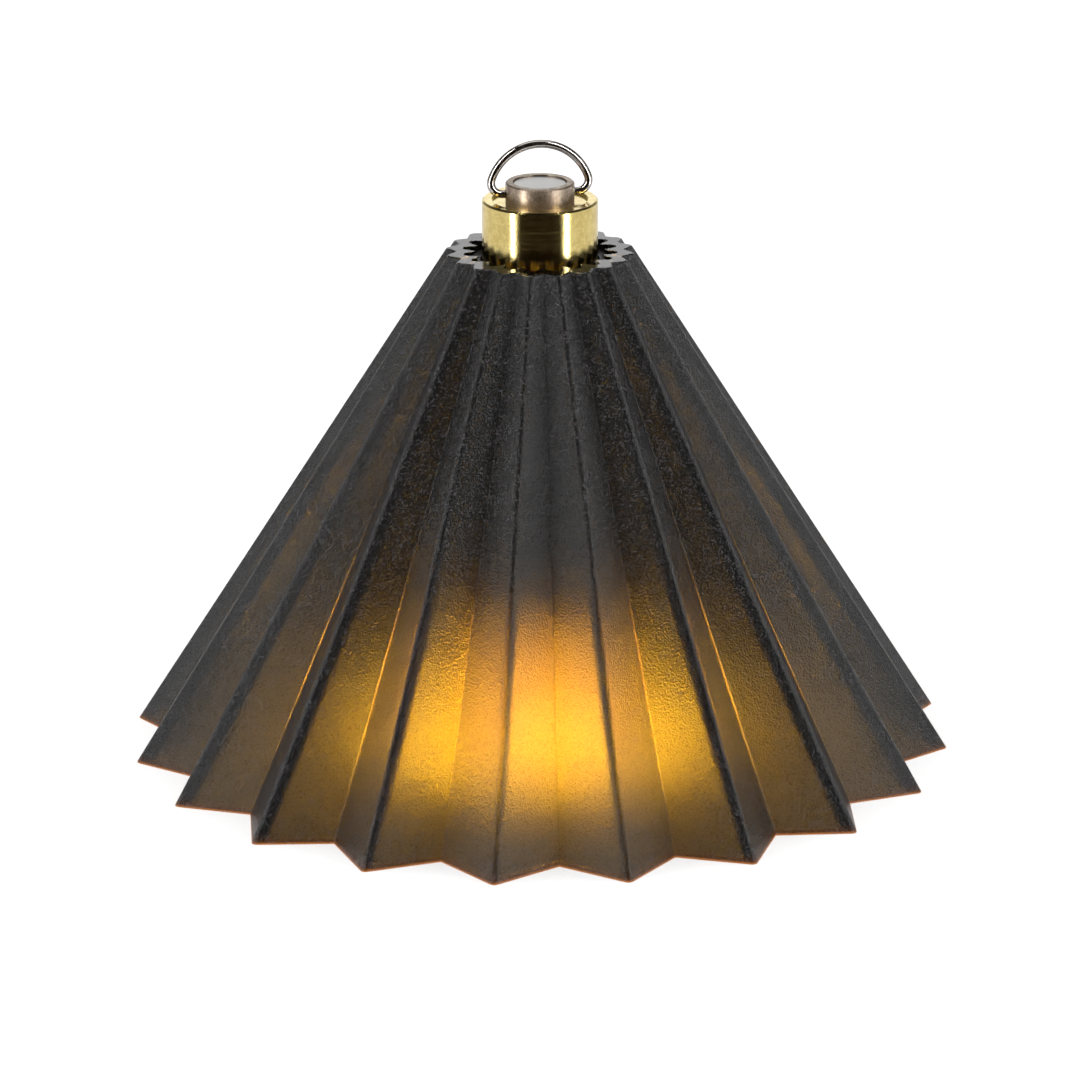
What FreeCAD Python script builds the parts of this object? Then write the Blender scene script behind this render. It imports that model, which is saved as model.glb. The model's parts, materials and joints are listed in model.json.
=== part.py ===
import FreeCAD, Part
import math
import os
import re

import Sketcher
from FreeCAD import Placement, Rotation, Vector

# A small battery lantern that stands upside down on its frosted globe, with a
# pleated, translucent shade resting like a bell on a ring near its brass cap.
# The frame's origin is on the table at the middle of the shade, +Z is up, and
# the hanging ring's bar lies along X. Lengths are in millimetres.

doc = FreeCAD.newDocument("PleatedLamp")
sheet = doc.addObject("Spreadsheet::Sheet", "Sizes")

SIZES = [
    # Shade: twenty pleats, from the rim on the table to the open neck
    ("pleats", 20, "pleats round the shade"),
    ("rim_radius", 68.0, "rim, out to the ridges"),
    ("pleat_depth", 8.31, "rim, from ridge to valley"),
    ("rim_wall", 2.55, "rim's wall, along the radius"),
    ("neck_radius", 15.2, "neck, out to the ridges"),
    ("notch_depth", 1.15, "neck, from ridge to notch"),
    ("neck_wall", 1.45, "neck's wall, from notch to slot"),
    ("lobe_depth", 2.1, "neck, from slot in to the lobe's crest"),
    ("ridge_round", 0.8, "rounding of each ridge"),
    ("slot_round", 0.6, "rounding of each slot, inside a ridge"),
    ("shade_turn", 2.5, "degrees, first ridge from the hanging ring's bar"),
    # Carrier ring: the shade's lobes rest on its cone
    ("seat_radius", 13.0, "cone's large end"),
    ("seat_top_radius", 11.2, "cone's small end"),
    ("seat_gap", 0.12, "cone to lobes, along the radius"),
    ("carrier_skirt", 3.65, "carrier's straight part"),
    ("carrier_clearance", 0.31, "carrier's bore round the cap"),
    # Globe and its collar
    ("globe_radius", 10.6, "globe, outside"),
    ("globe_wall", 1.0, "globe's wall"),
    ("globe_height", 26.1, "globe, from the table to its flange's top"),
    ("globe_round", 2.5, "globe's rounded end"),
    ("flange_radius", 11.2, "globe's flange"),
    ("flange_height", 1.5, "globe's flange"),
    ("seal_gap", 0.9, "seal's room, from flange to tube"),
    ("seal_squeeze", 0.05, "seals, each side short of their room"),
    ("collar_radius", 12.6, "collar, outside"),
    ("collar_lip", 1.6, "collar's lip under the flange"),
    ("collar_clearance", 0.15, "collar to globe"),
    ("diffuser_wall", 0.7, "diffuser's wall"),
    ("diffuser_end", 3.0, "diffuser's closed end, above the table"),
    ("slip_gap", 0.1, "pieces that slip together"),
    # Lamp cup, boards and emitter
    ("head_radius", 11.4, "tube's threaded head"),
    ("head_length", 5.0, "tube's threaded head"),
    ("cup_bore", 9.0, "tube's bore round the lamp cup"),
    ("cup_inset", 0.4, "lamp cup, in from the tube's end"),
    ("cup_height", 5.4, "lamp cup"),
    ("cup_floor", 2.0, "lamp cup's floor"),
    ("cup_wall", 1.4, "lamp cup's wall"),
    ("emitter_board_radius", 8.0, "emitter's board"),
    ("board_thickness", 1.0, "both boards"),
    ("emitter_radius", 4.5, "emitter"),
    ("emitter_height", 0.6, "emitter"),
    ("lead_spread", 5.6, "leads, from the axis"),
    ("lead_radius", 0.45, "leads"),
    ("lead_clearance", 0.3, "leads' holes in the cup's floor"),
    ("coil_side", 4.6, "driver's coil"),
    ("coil_height", 2.2, "driver's coil"),
    ("chip_side", 3.2, "driver's chip"),
    ("chip_height", 1.0, "driver's chip"),
    ("part_spacing", 0.9, "driver's coil and chip, each from the board's middle"),
    # Cell
    ("cell_radius", 7.05, "cell"),
    ("cell_length", 48.8, "cell's can"),
    ("button_radius", 2.75, "cell's button"),
    ("button_height", 1.2, "cell's button"),
    ("contact_radius", 2.2, "front contact"),
    ("contact_height", 1.2, "front contact"),
    # Tube
    ("tube_radius", 10.4, "tube, outside"),
    ("tube_bore", 7.25, "tube's bore round the cell"),
    ("pilot_length", 1.8, "tube's pilot in the carrier"),
    ("neck_length", 6.8, "tube's threaded neck"),
    ("thread_radius", 8.38, "tube's threaded neck"),
    ("cell_proud", 1.0, "cell, above the neck's end"),
    ("groove_depth", 0.58, "seal's groove in the neck"),
    ("groove_width", 0.9, "seal's groove in the neck"),
    ("groove_level", 0.8, "seal's groove, above the neck's root"),
    ("fins", 4, "cooling grooves round the tube"),
    ("fin_pitch", 2.6, "cooling grooves"),
    ("fin_width", 1.3, "cooling grooves"),
    ("fin_depth", 0.9, "cooling grooves"),
    ("fin_start", 3.0, "first cooling groove, above the head"),
    # Tail cap
    ("cap_radius", 9.44, "tail cap"),
    ("cap_gap", 0.2, "cap's lower end to the tube's pilot"),
    ("thread_gap", 0.05, "cap's thread round the neck"),
    ("chamber_clearance", 0.45, "cap's bore round the cell's end"),
    ("chamber_height", 4.44, "from the cell's end to the cap's ceiling"),
    ("socket_spare", 0.6, "cap's threaded bore, past the neck's end"),
    ("cap_end", 2.5, "cap's end wall"),
    ("recess_radius", 7.85, "recess in the cap's end"),
    ("recess_depth", 0.5, "recess in the cap's end"),
    ("cap_bevel", 0.3, "bevel of the cap's upper edge"),
    # Stud, magnet, nut
    ("stud_radius", 5.6, "stud's head"),
    ("stud_height", 3.35, "stud's head, above the recess"),
    ("stud_bevel", 0.25, "bevel of the stud's upper edge"),
    ("shank_radius", 2.0, "stud's shank"),
    ("shank_clearance", 0.08, "hole round the shank"),
    ("shank_spare", 0.4, "shank, past the nut"),
    ("nut_flats", 7.0, "nut, across its flats"),
    ("nut_height", 1.6, "nut"),
    ("magnet_radius", 4.2, "magnet"),
    ("magnet_height", 2.0, "magnet"),
    ("magnet_gap", 0.18, "pocket round the magnet"),
    ("magnet_drop", 0.25, "magnet, below the stud's face"),
    # Hanging ring
    ("wire_radius", 0.65, "hanging ring's wire"),
    ("bar_level", 1.5, "ring's bar, above the recess"),
    ("ring_rise", 8.0, "wire's middle at the top, above the bar"),
    ("ring_curve", 8.4, "curve of the arch"),
    ("ring_corner", 1.84, "curve of both corners"),
    ("ring_lean", 4.0, "degrees, ring's lean to the back"),
    ("pin_gap", 0.05, "holes round the wire's ends"),
    ("pin_depth", 1.0, "holes in the stud's side"),
    ("pin_end_gap", 0.1, "wire's ends to the holes' ends"),
    # Spring
    ("spring_wire", 0.3, "spring's wire"),
    ("spring_side_gap", 0.95, "spring's coil at the cap, in from the chamber"),
    ("spring_foot_radius", 4.0, "spring's coil at the cell"),
    ("spring_turns", 3, "spring's turns"),
    ("spring_gap", 0.05, "spring's ends to cap and cell"),
]

for row, (alias, value, note) in enumerate(SIZES, start=1):
    sheet.set(f"A{row}", note)
    sheet.set(f"B{row}", str(value))
    sheet.setAlias(f"B{row}", alias)
doc.recompute()

NAMES = re.compile(r"\b(" + "|".join(alias for alias, value, note in SIZES) + r")\b")


def bound(text):
    """The expression for a formula written in the sheet's names."""
    return NAMES.sub(r"Sizes.\1", text)


def number(text):
    """The formula's present value."""
    result = sheet.evalExpression(bound(text))
    return float(getattr(result, "Value", result))


# Heights above the table, from the globe up to the hanging ring
head_face = "(globe_height + seal_gap)"
cup_face = f"({head_face} + cup_inset)"
board_face = f"({cup_face} + cup_height)"
bore_shoulder = f"({board_face} + board_thickness)"
cell_foot = f"({bore_shoulder} + contact_height + button_height)"
cell_top = f"({cell_foot} + cell_length)"
neck_top = f"({cell_top} - cell_proud)"
neck_root = f"({neck_top} - neck_length)"
tube_step = f"({neck_root} - pilot_length)"
cap_foot = f"({neck_root} + cap_gap)"
ceiling = f"({cell_top} + chamber_height)"
recess_floor = f"({ceiling} + cap_end)"
cap_top = f"({recess_floor} + recess_depth)"
stud_top = f"({recess_floor} + stud_height)"
bar_axis = f"({recess_floor} + bar_level)"
seat_level = f"({tube_step} + carrier_skirt)"

# Radii that follow from others
rim_valley = "(rim_radius - pleat_depth)"
rim_slot = "(rim_radius - rim_wall)"
rim_lobe = f"({rim_valley} - rim_wall)"
neck_notch = "(neck_radius - notch_depth)"
neck_slot = f"({neck_notch} - neck_wall)"
neck_lobe = f"({neck_slot} - lobe_depth)"
carrier_bore = "(cap_radius + carrier_clearance)"
socket_radius = "(thread_radius + thread_gap)"
globe_bore = "(globe_radius - globe_wall)"
cup_radius = "(cup_bore - thread_gap)"
chamber_radius = "(cell_radius + chamber_clearance)"
magnet_pocket = "(magnet_radius + magnet_gap)"

# The shade stands on the table and its lobes meet the carrier's cone, so its
# height is where the line of the lobes' crests reaches the neck.
shade_height = (
    f"({seat_level} * ({rim_lobe} - {neck_lobe})"
    f" / ({rim_lobe} - seat_radius - seat_gap))"
)
seat_top = (
    f"({seat_level} + (seat_radius - seat_top_radius)"
    f" * {shade_height} / ({rim_lobe} - {neck_lobe}))"
)


def new_body(name):
    """An empty body with its own label."""
    body = doc.addObject("PartDesign::Body", name)
    body.Label = name
    return body


def attached_sketch(body, name, plane, offset=None):
    """A sketch on one of the body's origin planes, raised by a formula."""
    sketch = body.newObject("Sketcher::SketchObject", name)
    planes = [item for item in body.Origin.OriginFeatures if item.Role == plane]
    sketch.AttachmentSupport = [(planes[0], "")]
    sketch.MapMode = "FlatFace"
    if offset:
        sketch.setExpression("AttachmentOffset.Base.z", bound(offset))
    return sketch


def origin_axis(body, role):
    """One of the body's own axes."""
    return [item for item in body.Origin.OriginFeatures if item.Role == role][0]


def set_size(sketch, constraint, formula):
    """Add a dimension to the sketch and bind it to the formula."""
    index = sketch.addConstraint(constraint)
    sketch.setExpression(f"Constraints[{index}]", bound(formula))


def place_point(sketch, line, end, across, up):
    """Fix a line's end at the two formulas, or on an axis where one is zero."""
    if number(across) == 0:
        sketch.addConstraint(Sketcher.Constraint("PointOnObject", line, end, -2))
    else:
        distance = Sketcher.Constraint("DistanceX", -1, 1, line, end, number(across))
        set_size(sketch, distance, across)
    if number(up) == 0:
        sketch.addConstraint(Sketcher.Constraint("PointOnObject", line, end, -1))
    else:
        distance = Sketcher.Constraint("DistanceY", -1, 1, line, end, number(up))
        set_size(sketch, distance, up)


def draw_outline(sketch, corners):
    """A closed outline through corners given as pairs of formulas."""
    points = [Vector(number(across), number(up), 0) for across, up in corners]
    count = len(points)
    for index, point in enumerate(points):
        sketch.addGeometry(Part.LineSegment(point, points[(index + 1) % count]), False)
    for index, (across, up) in enumerate(corners):
        following = (index + 1) % count
        sketch.addConstraint(Sketcher.Constraint("Coincident", index, 2, following, 1))
        place_point(sketch, index, 1, across, up)


def revolve(body, name, corners, kind="PartDesign::Revolution"):
    """Turn an outline of (radius, height) corners about the body's Z axis."""
    sketch = attached_sketch(body, name + "_outline", "XZ_Plane")
    draw_outline(sketch, corners)
    feature = body.newObject(kind, name)
    feature.Profile = sketch
    feature.ReferenceAxis = (sketch, ["V_Axis"])
    feature.Angle = 360
    return feature


def turned_piece(name, corners):
    """A body made by one revolved outline."""
    body = new_body(name)
    revolve(body, name + "_turn", corners)
    return body


def circle_edges(shape, radius, height):
    """Names of the shape's round edges about Z at a radius and a height."""
    found = []
    for index, edge in enumerate(shape.Edges, start=1):
        curve = edge.Curve
        if not isinstance(curve, Part.Circle):
            continue
        centred = math.hypot(curve.Center.x, curve.Center.y) < 0.001
        level = abs(curve.Center.z - height) < 0.001
        if centred and level and abs(curve.Radius - radius) < 0.001:
            found.append(f"Edge{index}")
    return found


def dress_edge(body, name, kind, size, radius, height):
    """Round or bevel the body's circular edge at a radius and a height."""
    doc.recompute()
    base = body.Tip
    edges = circle_edges(base.Shape, number(radius), number(height))
    feature = body.newObject(kind, name)
    feature.Base = (base, edges)
    feature.setExpression("Radius" if kind.endswith("Fillet") else "Size", bound(size))
    return feature


def primitive(kind, name, sizes, at=("0", "0", "0")):
    """A plain solid whose sizes and place are bound to formulas."""
    solid = doc.addObject(kind, name)
    solid.Label = name
    for key, formula in sizes.items():
        solid.setExpression(key, bound(formula))
    for key, formula in zip("xyz", at):
        if formula != "0":
            solid.setExpression(f"Placement.Base.{key}", bound(formula))
    return solid


def disc(name, radius, height, level, across="0"):
    """A round plate, button or wire that stands on a level."""
    return primitive("Part::Cylinder", name, {"Radius": radius, "Height": height}, (across, "0", level))


def pleat_section(body, name, level, ridge, valley, slot, lobe):
    """One pleat's cut through the wall: ridge on +X, half a pitch each side."""
    sketch = attached_sketch(body, name, "XY_Plane", level)
    half = math.pi / number("pleats")
    ridge_centre = number(f"{ridge} - ridge_round")
    slot_centre = number(f"{slot} - slot_round")
    outer = [Vector(number(valley) * math.cos(half), side * number(valley) * math.sin(half), 0) for side in (-1, 1)]
    inner = [Vector(number(lobe) * math.cos(half), side * number(lobe) * math.sin(half), 0) for side in (-1, 1)]

    def crest(centre, radius, foot):
        """The arc on a crest, between the lines that come up from both feet."""
        reach = math.hypot(foot.x - centre, foot.y)
        swing = math.atan2(foot.y, foot.x - centre) - math.acos(radius / reach)
        circle = Part.Circle(Vector(centre, 0, 0), Vector(0, 0, 1), radius)
        tip = Vector(centre + radius * math.cos(swing), radius * math.sin(swing), 0)
        return Part.ArcOfCircle(circle, -swing, swing), tip

    ridge_arc, ridge_tip = crest(ridge_centre, number("ridge_round"), outer[1])
    slot_arc, slot_tip = crest(slot_centre, number("slot_round"), inner[1])
    mirrored = Vector(1, -1, 1)
    ridge_foot = Vector(ridge_tip.x, ridge_tip.y * mirrored.y, 0)
    slot_foot = Vector(slot_tip.x, slot_tip.y * mirrored.y, 0)
    sketch.addGeometry(Part.LineSegment(outer[0], ridge_foot), False)
    sketch.addGeometry(ridge_arc, False)
    sketch.addGeometry(Part.LineSegment(ridge_tip, outer[1]), False)
    sketch.addGeometry(Part.LineSegment(outer[1], inner[1]), False)
    sketch.addGeometry(Part.LineSegment(inner[1], slot_tip), False)
    sketch.addGeometry(slot_arc, False)
    sketch.addGeometry(Part.LineSegment(slot_foot, inner[0]), False)
    sketch.addGeometry(Part.LineSegment(inner[0], outer[0]), False)
    joins = [("Tangent", 0, 2, 1, 1), ("Tangent", 1, 2, 2, 1), ("Coincident", 2, 2, 3, 1),
             ("Coincident", 3, 2, 4, 1), ("Tangent", 4, 2, 5, 2), ("Tangent", 5, 1, 6, 1),
             ("Coincident", 6, 2, 7, 1), ("Coincident", 7, 2, 0, 1)]
    for join in joins:
        sketch.addConstraint(Sketcher.Constraint(*join))
    for line, foot in ((2, valley), (3, lobe)):
        place_point(sketch, line, 2, f"{foot} * cos(180deg / pleats)", f"{foot} * sin(180deg / pleats)")
    sketch.addConstraint(Sketcher.Constraint("Symmetric", 0, 1, 2, 2, -1))
    sketch.addConstraint(Sketcher.Constraint("Symmetric", 6, 2, 3, 2, -1))
    for arc, centre, rounding in ((1, f"{ridge} - ridge_round", "ridge_round"),
                                  (5, f"{slot} - slot_round", "slot_round")):
        sketch.addConstraint(Sketcher.Constraint("PointOnObject", arc, 3, -1))
        set_size(sketch, Sketcher.Constraint("Radius", arc, number(rounding)), rounding)
        set_size(sketch, Sketcher.Constraint("DistanceX", -1, 1, arc, 3, number(centre)), centre)
    return sketch


def make_shade():
    """The moulded shade: one pleat ruled from rim to neck, repeated in a ring."""
    body = new_body("shade")
    rim = pleat_section(body, "rim_pleat", None, "rim_radius", rim_valley, rim_slot, rim_lobe)
    neck = pleat_section(body, "neck_pleat", shade_height, "neck_radius", neck_notch, neck_slot, neck_lobe)
    doc.recompute()
    pleat = body.newObject("PartDesign::AdditiveLoft", "pleat")
    pleat.Profile = rim
    pleat.Sections = [neck]
    pleat.Ruled = True
    doc.recompute()
    ring = body.newObject("PartDesign::PolarPattern", "pleat_ring")
    ring.Originals = [pleat]
    ring.Axis = (origin_axis(body, "Z_Axis"), [""])
    ring.Angle = 360
    ring.setExpression("Occurrences", bound("pleats"))
    body.Tip = ring
    body.Placement = Placement(Vector(0, 0, 0), Rotation(Vector(0, 0, 1), 1))
    body.setExpression("Placement.Rotation.Angle", bound("shade_turn * 1deg"))
    return body


def make_carrier():
    """The ring that slips over the cap, sits on the tube's step and carries the shade."""
    return turned_piece("shade_carrier", [
        (carrier_bore, tube_step), ("seat_radius", tube_step), ("seat_radius", seat_level),
        ("seat_top_radius", seat_top), (carrier_bore, seat_top)])


def make_globe():
    """The clear globe, closed at the table, with a flange that its collar holds."""
    body = turned_piece("globe", [
        ("0", "0"), ("globe_radius", "0"), ("globe_radius", "globe_height - flange_height"),
        ("flange_radius", "globe_height - flange_height"), ("flange_radius", "globe_height"),
        (globe_bore, "globe_height"), (globe_bore, "globe_wall"), ("0", "globe_wall")])
    dress_edge(body, "globe_end", "PartDesign::Fillet", "globe_round", "globe_radius", "0")
    dress_edge(body, "globe_hollow", "PartDesign::Fillet", "globe_round - globe_wall", globe_bore, "globe_wall")
    return body


def make_diffuser():
    """The frosted cup over the emitter, pushed over the emitter's board."""
    bore = "(emitter_board_radius + slip_gap)"
    outside = f"({bore} + diffuser_wall)"
    rim = f"({cup_face} - slip_gap)"
    body = turned_piece("diffuser", [
        ("0", "diffuser_end"), (outside, "diffuser_end"), (outside, rim), (bore, rim),
        (bore, "diffuser_end + diffuser_wall"), ("0", "diffuser_end + diffuser_wall")])
    dress_edge(body, "diffuser_round", "PartDesign::Fillet", "globe_round", outside, "diffuser_end")
    return body


def make_collar():
    """The collar that screws on the tube's head and holds the globe's flange."""
    lip_bore = "(globe_radius + collar_clearance)"
    flange_bore = "(flange_radius + collar_clearance)"
    thread_bore = "(head_radius + thread_gap)"
    lip_top = "(globe_height - flange_height)"
    collar_top = f"({head_face} + head_length)"
    body = turned_piece("globe_collar", [
        (lip_bore, f"{lip_top} - collar_lip"), ("collar_radius", f"{lip_top} - collar_lip"),
        ("collar_radius", collar_top), (thread_bore, collar_top), (thread_bore, head_face),
        (flange_bore, head_face), (flange_bore, lip_top), (lip_bore, lip_top)])
    dress_edge(body, "collar_edge", "PartDesign::Chamfer", "cap_bevel", "collar_radius", f"{lip_top} - collar_lip")
    return body


def make_seal(name, inner, outer, level, thickness):
    """An O-ring that fills its room but for the squeeze."""
    return primitive("Part::Torus", name, {
        "Radius1": f"({inner} + {outer}) / 2", "Radius2": f"{thickness} / 2 - seal_squeeze"}, ("0", "0", level))


def make_tube():
    """The battery tube: head thread, cooling grooves, carrier's step, cap's thread."""
    head_top = f"({head_face} + head_length)"
    pilot = f"({carrier_bore} - slip_gap)"
    groove_floor = "(thread_radius - groove_depth)"
    groove_foot = f"({neck_root} + groove_level)"
    body = turned_piece("battery_tube", [
        ("cup_bore", head_face), ("head_radius", head_face), ("head_radius", head_top), ("tube_radius", head_top),
        ("tube_radius", tube_step), (pilot, tube_step), (pilot, neck_root), ("thread_radius", neck_root),
        ("thread_radius", groove_foot), (groove_floor, groove_foot), (groove_floor, f"{groove_foot} + groove_width"),
        ("thread_radius", f"{groove_foot} + groove_width"), ("thread_radius", neck_top), ("tube_bore", neck_top),
        ("tube_bore", bore_shoulder), ("cup_bore", bore_shoulder)])
    fin_foot = f"({head_top} + fin_start)"
    groove = revolve(body, "cooling_groove", [
        ("tube_radius - fin_depth", fin_foot), ("tube_radius + fin_depth", fin_foot),
        ("tube_radius + fin_depth", f"{fin_foot} + fin_width"), ("tube_radius - fin_depth", f"{fin_foot} + fin_width")],
        "PartDesign::Groove")
    doc.recompute()
    fins = body.newObject("PartDesign::LinearPattern", "cooling_grooves")
    fins.Originals = [groove]
    fins.Direction = (origin_axis(body, "Z_Axis"), [""])
    fins.setExpression("Length", bound("fin_pitch * (fins - 1)"))
    fins.setExpression("Occurrences", bound("fins"))
    body.Tip = fins
    return body


def make_lamp_cup():
    """The screwed-in cup that carries the emitter and takes its heat."""
    hollow = f"({cup_radius} - cup_wall)"
    floor_top = f"({cup_face} + cup_floor)"
    body = turned_piece("lamp_cup", [
        ("0", cup_face), (cup_radius, cup_face), (cup_radius, board_face), (hollow, board_face),
        (hollow, floor_top), ("0", floor_top)])
    sketch = attached_sketch(body, "lead_holes_outline", "XY_Plane", cup_face)
    for side in (1, -1):
        centre = Vector(side * number("lead_spread"), 0, 0)
        hole = sketch.addGeometry(Part.Circle(centre, Vector(0, 0, 1), number("lead_radius + lead_clearance")), False)
        sketch.addConstraint(Sketcher.Constraint("PointOnObject", hole, 3, -1))
        ends = (-1, 1, hole, 3) if side > 0 else (hole, 3, -1, 1)
        set_size(sketch, Sketcher.Constraint("DistanceX", *ends, number("lead_spread")), "lead_spread")
        radius = Sketcher.Constraint("Radius", hole, number("lead_radius + lead_clearance"))
        set_size(sketch, radius, "lead_radius + lead_clearance")
    holes = body.newObject("PartDesign::Pocket", "lead_holes")
    holes.Profile = sketch
    holes.setExpression("Length", bound("cup_floor"))
    holes.Reversed = True
    return body


def make_driver_parts():
    """The driver's coil and chip, on the side of its board that faces the cup."""
    coil = primitive("Part::Box", "coil", {"Length": "coil_side", "Width": "coil_side", "Height": "coil_height"},
                     ("-coil_side / 2", "part_spacing", f"{board_face} - coil_height"))
    chip = primitive("Part::Box", "chip", {"Length": "chip_side", "Width": "chip_side", "Height": "chip_height"},
                     ("-chip_side / 2", "-part_spacing - chip_side", f"{board_face} - chip_height"))
    group = doc.addObject("Part::Compound", "driver_parts")
    group.Label = "driver_parts"
    group.Links = [coil, chip]
    return group


def make_cap():
    """The brass tail cap: threaded socket, spring's chamber, recessed end."""
    socket_top = f"({neck_top} + socket_spare)"
    hole = "(shank_radius + shank_clearance)"
    body = turned_piece("tail_cap", [
        (socket_radius, cap_foot), ("cap_radius", cap_foot), ("cap_radius", cap_top), ("recess_radius", cap_top),
        ("recess_radius", recess_floor), (hole, recess_floor), (hole, ceiling), (chamber_radius, ceiling),
        (chamber_radius, socket_top), (socket_radius, socket_top)])
    dress_edge(body, "cap_edge", "PartDesign::Chamfer", "cap_bevel", "cap_radius", cap_top)
    return body


def make_stud():
    """The steel stud: magnet's pocket on top, shank through the cap, holes for the ring."""
    pocket_floor = f"({stud_top} - magnet_drop - magnet_height)"
    shank_foot = f"({ceiling} - nut_height - shank_spare)"
    body = turned_piece("tail_stud", [
        ("0", shank_foot), ("shank_radius", shank_foot), ("shank_radius", recess_floor),
        ("stud_radius", recess_floor), ("stud_radius", stud_top), (magnet_pocket, stud_top),
        (magnet_pocket, pocket_floor), ("0", pocket_floor)])
    dress_edge(body, "stud_edge", "PartDesign::Chamfer", "stud_bevel", "stud_radius", stud_top)
    for side, offset in (("right", "stud_radius - pin_depth"), ("left", "-stud_radius")):
        sketch = attached_sketch(body, f"{side}_hole_outline", "YZ_Plane", offset)
        circle = Part.Circle(Vector(0, number(bar_axis), 0), Vector(0, 0, 1), number("wire_radius + pin_gap"))
        hole = sketch.addGeometry(circle, False)
        place_point(sketch, hole, 3, "0", bar_axis)
        set_size(sketch, Sketcher.Constraint("Radius", hole, number("wire_radius + pin_gap")), "wire_radius + pin_gap")
        pocket = body.newObject("PartDesign::Pocket", f"{side}_hole")
        pocket.Profile = sketch
        pocket.setExpression("Length", bound("pin_depth"))
        pocket.Reversed = True
    return body


def make_nut():
    """The thin nut that holds the stud inside the cap."""
    level = f"{ceiling} - nut_height"
    blank = primitive("Part::Prism", "nut_blank", {
        "Circumradius": "nut_flats / 2 / cos(30deg)", "Height": "nut_height"}, ("0", "0", level))
    blank.Polygon = 6
    hole = disc("nut_hole", "shank_radius + thread_gap", "nut_height", level)
    nut = doc.addObject("Part::Cut", "stud_nut")
    nut.Label = "stud_nut"
    nut.Base = blank
    nut.Tool = hole
    return nut


def make_ring():
    """The wire ring: a D whose two ends turn in the stud's side."""
    body = new_body("hanging_ring")
    path = attached_sketch(body, "ring_path", "XZ_Plane")
    end = number("stud_radius - pin_depth + pin_end_gap")
    rise, curve, corner = number("ring_rise"), number("ring_curve"), number("ring_corner")
    arch_centre = rise - curve
    corner_across = math.sqrt((curve - corner) ** 2 - (corner - arch_centre) ** 2)
    turn = math.atan2(corner - arch_centre, corner_across)
    normal = Vector(0, 0, 1)
    right = Part.Circle(Vector(corner_across, corner, 0), normal, corner)
    left = Part.Circle(Vector(-corner_across, corner, 0), normal, corner)
    arch = Part.Circle(Vector(0, arch_centre, 0), normal, curve)
    path.addGeometry(Part.LineSegment(Vector(end, 0, 0), Vector(corner_across, 0, 0)), False)
    path.addGeometry(Part.ArcOfCircle(right, -math.pi / 2, turn), False)
    path.addGeometry(Part.ArcOfCircle(arch, turn, math.pi - turn), False)
    path.addGeometry(Part.ArcOfCircle(left, math.pi - turn, math.pi * 1.5), False)
    path.addGeometry(Part.LineSegment(Vector(-corner_across, 0, 0), Vector(-end, 0, 0)), False)
    top = path.addGeometry(Part.Point(Vector(0, rise, 0)), True)
    for first, second in ((0, 1), (1, 2), (2, 3), (3, 4)):
        path.addConstraint(Sketcher.Constraint("Tangent", first, 2, second, 1))
    for line, point in ((0, 1), (0, 2), (4, 1), (4, 2)):
        path.addConstraint(Sketcher.Constraint("PointOnObject", line, point, -1))
    path.addConstraint(Sketcher.Constraint("PointOnObject", 2, 3, -2))
    path.addConstraint(Sketcher.Constraint("PointOnObject", top, 1, 2))
    path.addConstraint(Sketcher.Constraint("PointOnObject", top, 1, -2))
    set_size(path, Sketcher.Constraint("DistanceY", -1, 1, top, 1, rise), "ring_rise")
    set_size(path, Sketcher.Constraint("Radius", 2, curve), "ring_curve")
    set_size(path, Sketcher.Constraint("Radius", 1, corner), "ring_corner")
    reach = "stud_radius - pin_depth + pin_end_gap"
    set_size(path, Sketcher.Constraint("DistanceX", -1, 1, 0, 1, end), reach)
    set_size(path, Sketcher.Constraint("DistanceX", 4, 2, -1, 1, end), reach)
    section = attached_sketch(body, "wire_section", "YZ_Plane", reach)
    wire = section.addGeometry(Part.Circle(Vector(0, 0, 0), normal, number("wire_radius")), False)
    section.addConstraint(Sketcher.Constraint("Coincident", wire, 3, -1, 1))
    set_size(section, Sketcher.Constraint("Radius", wire, number("wire_radius")), "wire_radius")
    doc.recompute()
    pipe = body.newObject("PartDesign::AdditivePipe", "ring_wire")
    pipe.Profile = section
    pipe.Spine = path
    pipe.Transition = "Transformed"
    body.Placement = Placement(Vector(0, 0, 1), Rotation(Vector(-1, 0, 0), 1))
    body.setExpression("Placement.Base.z", bound(bar_axis))
    body.setExpression("Placement.Rotation.Angle", bound("ring_lean * 1deg"))
    return body


def make_spring():
    """The conical spring in the cap, narrow on the cell and wide round the nut."""
    body = new_body("contact_spring")
    foot = f"({cell_top} + spring_wire + spring_gap)"
    top = f"({chamber_radius} - spring_side_gap - spring_wire)"
    section = attached_sketch(body, "spring_section", "XZ_Plane")
    centre = Vector(number("spring_foot_radius"), number(foot), 0)
    wire = section.addGeometry(Part.Circle(centre, Vector(0, 0, 1), number("spring_wire")), False)
    place_point(section, wire, 3, "spring_foot_radius", foot)
    set_size(section, Sketcher.Constraint("Radius", wire, number("spring_wire")), "spring_wire")
    doc.recompute()
    coil = body.newObject("PartDesign::AdditiveHelix", "spring_coil")
    coil.Profile = section
    coil.ReferenceAxis = (section, ["V_Axis"])
    coil.Mode = "height-turns-growth"
    coil.setExpression("Height", bound("chamber_height - 2 * (spring_wire + spring_gap)"))
    coil.setExpression("Turns", bound("spring_turns"))
    coil.setExpression("Growth", bound(f"({top} - spring_foot_radius) / spring_turns"))
    return body


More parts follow.
